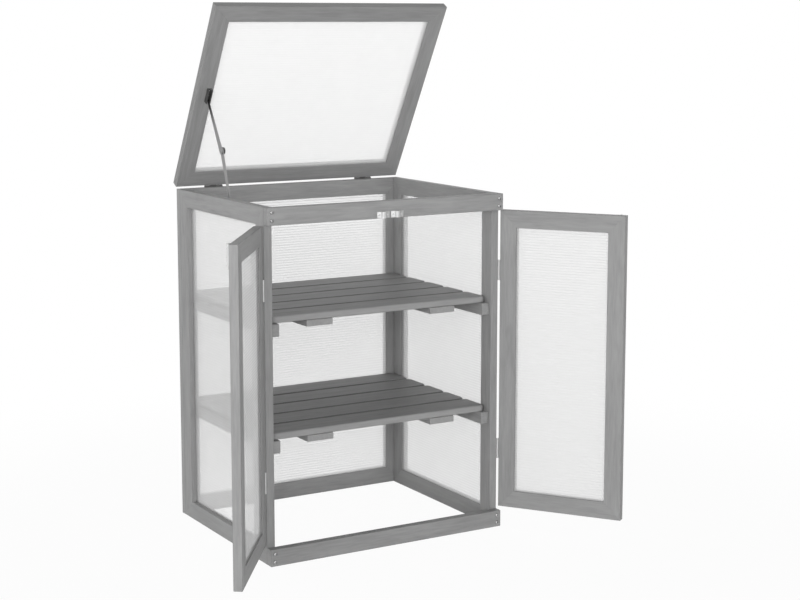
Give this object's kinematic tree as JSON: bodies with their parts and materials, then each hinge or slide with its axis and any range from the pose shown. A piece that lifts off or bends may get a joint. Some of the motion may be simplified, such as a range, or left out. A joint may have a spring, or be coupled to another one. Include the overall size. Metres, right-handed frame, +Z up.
{
  "type": "wooden mini greenhouse",
  "caption": "Small free-standing greenhouse cabinet of grey timber frames and fluted translucent sheet, with double doors, a hinged lid on a stay and slatted shelves.",
  "frame": {"origin": "underside of the front bottom rail, halfway along it and halfway through its thickness", "axes": "+X to the viewer's right along the front, +Y from the front to the back, +Z up"},
  "size_m": [0.9496, 0.706, 1.1781],
  "materials": {
    "grey_paint": "matt grey paint over softwood, with the grain showing",
    "shelf_paint": "matt grey stain over sawn softwood",
    "fluted_sheet": "clear fluted twin-wall sheet with a whitish haze",
    "zinc_steel": "bright zinc plate",
    "stay_steel": "dull zinc plate",
    "dark_steel": "black coated steel"
  },
  "bodies": {
    "cabinet": {"left_bottom_rail": "grey_paint", "left_back_post": "grey_paint", "left_top_rail": "grey_paint", "left_front_post": "grey_paint", "left_pane": "fluted_sheet", "right_bottom_rail": "grey_paint", "right_back_post": "grey_paint", "right_top_rail": "grey_paint", "right_front_post": "grey_paint", "right_pane": "fluted_sheet", "back_bottom_rail": "grey_paint", "back_right_stile": "grey_paint", "back_top_rail": "grey_paint", "back_left_stile": "grey_paint", "back_pane": "fluted_sheet", "front_bottom_rail": "grey_paint", "front_top_rail": "grey_paint", "upper_left_runner": "grey_paint", "upper_right_runner": "grey_paint", "lower_left_runner": "grey_paint", "lower_right_runner": "grey_paint", "left_lower_hinge_post_leaf": "zinc_steel", "left_upper_hinge_post_leaf": "zinc_steel", "right_lower_hinge_post_leaf": "zinc_steel", "right_upper_hinge_post_leaf": "zinc_steel", "lid_left_hinge_back_leaf": "zinc_steel", "lid_right_hinge_back_leaf": "zinc_steel", "left_bolt_keeper": "zinc_steel", "right_bolt_keeper": "zinc_steel", "stay_cabinet_bracket": "dark_steel"},
    "left_door": {"left_door_bottom_rail": "grey_paint", "left_door_free_stile": "grey_paint", "left_door_top_rail": "grey_paint", "left_door_hinge_stile": "grey_paint", "left_door_pane": "fluted_sheet", "left_lower_hinge_door_leaf": "zinc_steel", "left_upper_hinge_door_leaf": "zinc_steel", "left_bolt_plate": "zinc_steel"},
    "right_door": {"right_door_bottom_rail": "grey_paint", "right_door_free_stile": "grey_paint", "right_door_top_rail": "grey_paint", "right_door_hinge_stile": "grey_paint", "right_door_pane": "fluted_sheet", "right_lower_hinge_door_leaf": "zinc_steel", "right_upper_hinge_door_leaf": "zinc_steel", "right_bolt_plate": "zinc_steel"},
    "left_bolt": {"left_bolt_rod": "zinc_steel"},
    "right_bolt": {"right_bolt_rod": "zinc_steel"},
    "lid": {"lid_back_rail": "grey_paint", "lid_right_stile": "grey_paint", "lid_front_rail": "grey_paint", "lid_left_stile": "grey_paint", "lid_pane": "fluted_sheet", "lid_left_hinge_lid_leaf": "zinc_steel", "lid_right_hinge_lid_leaf": "zinc_steel", "stay_lid_bracket": "dark_steel"},
    "stay_lower": {"stay_lower_arm": "stay_steel"},
    "stay_upper": {"stay_upper_arm": "stay_steel"},
    "upper_shelf": {"upper_shelf": "shelf_paint"},
    "lower_shelf": {"lower_shelf": "shelf_paint"}
  },
  "joints": [
    {"name": "lid_hinge", "type": "hinge", "parent": "cabinet", "child": "lid", "pos_m": [0, 0.46115, 0.761], "axis": [-1, 0, 0], "range_deg": [-60, 0]},
    {"name": "left_door_hinge", "type": "hinge", "parent": "cabinet", "child": "left_door", "pos_m": [-0.2924, 0.0094, 0.382], "axis": [0, 0, -1], "range_deg": [-125, 55]},
    {"name": "right_door_hinge", "type": "hinge", "parent": "cabinet", "child": "right_door", "pos_m": [0.2924, 0.0094, 0.382], "axis": [0, 0, 1], "range_deg": [-125, 55]},
    {"name": "left_bolt_slide", "type": "slide", "parent": "left_door", "child": "left_bolt", "axis": [0, 0, 1], "range_m": [0, 0.015]},
    {"name": "right_bolt_slide", "type": "slide", "parent": "right_door", "child": "right_bolt", "axis": [0, 0, 1], "range_m": [0, 0.015]},
    {"name": "stay_lower_pivot", "type": "hinge", "parent": "cabinet", "child": "stay_lower", "pos_m": [-0.26045, 0.23075, 0.74], "axis": [-1, 0, 0], "range_deg": [-124, 0]},
    {"name": "stay_upper_pivot", "type": "hinge", "parent": "lid", "child": "stay_upper", "pos_m": [-0.26225, 0.33689, 0.96223], "axis": [1, 0, 0], "range_deg": [-98, 0]},
    {"name": "upper_shelf_lift", "type": "slide", "parent": "cabinet", "child": "upper_shelf", "axis": [0, 0, 1], "range_m": [0, 0.15]},
    {"name": "lower_shelf_lift", "type": "slide", "parent": "cabinet", "child": "lower_shelf", "axis": [0, 0, 1], "range_m": [0, 0.15]}
  ],
  "couplings": [
    {"joint": "stay_lower_pivot", "follows": "lid_hinge", "ratio": 2.0651},
    {"joint": "stay_upper_pivot", "follows": "lid_hinge", "ratio": 1.6277}
  ]
}
